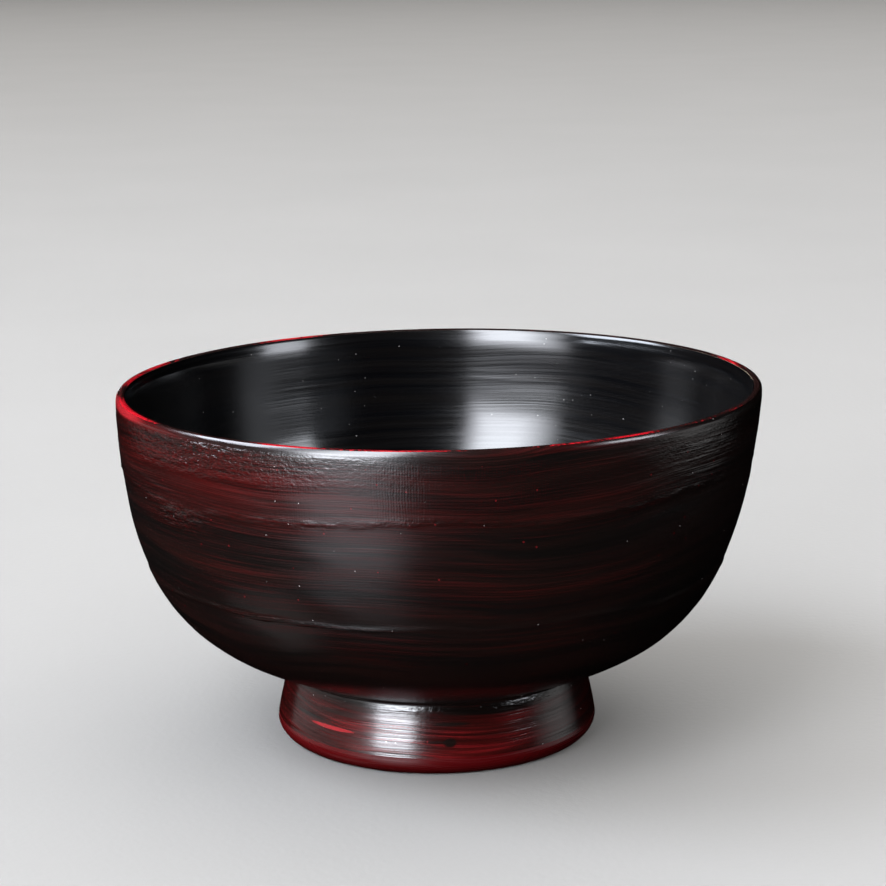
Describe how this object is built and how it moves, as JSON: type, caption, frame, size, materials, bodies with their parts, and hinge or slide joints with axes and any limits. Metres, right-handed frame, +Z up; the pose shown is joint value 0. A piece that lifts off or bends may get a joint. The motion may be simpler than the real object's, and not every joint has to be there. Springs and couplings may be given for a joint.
{
  "type": "lacquered wooden bowl",
  "caption": "Round turned wooden bowl on a flared foot ring, bound with cloth under black lacquer brushed over red; holds tea or food and stands on its foot.",
  "frame": {"origin": "middle of the ring on which the bowl stands, at table height", "axes": "+Z up along the axis of turning; X and Y are any two level directions"},
  "size_m": [0.1264, 0.1264, 0.0704],
  "materials": {
    "wood": "turned, sealed with raw lacquer",
    "hemp_cloth": "plain-woven hemp soaked in lacquer",
    "clay_ground": "clay and lacquer paste, rubbed level",
    "red_lacquer": "brushed red lacquer, soft gloss",
    "brushed_lacquer": "black lacquer brushed thinly over red, gloss",
    "black_lacquer": "black lacquer, gloss with brush marks"
  },
  "bodies": {
    "root": {"wood_core": "wood", "rim_cloth": "hemp_cloth", "belly_cloth": "hemp_cloth", "foot_cloth": "hemp_cloth", "well_cloth": "hemp_cloth", "outer_ground": "clay_ground", "inner_ground": "clay_ground", "underside_ground": "clay_ground", "outer_red_lacquer": "red_lacquer", "outer_black_lacquer": "brushed_lacquer", "inner_black_lacquer": "black_lacquer", "underside_red_lacquer": "red_lacquer"}
  },
  "joints": []
}
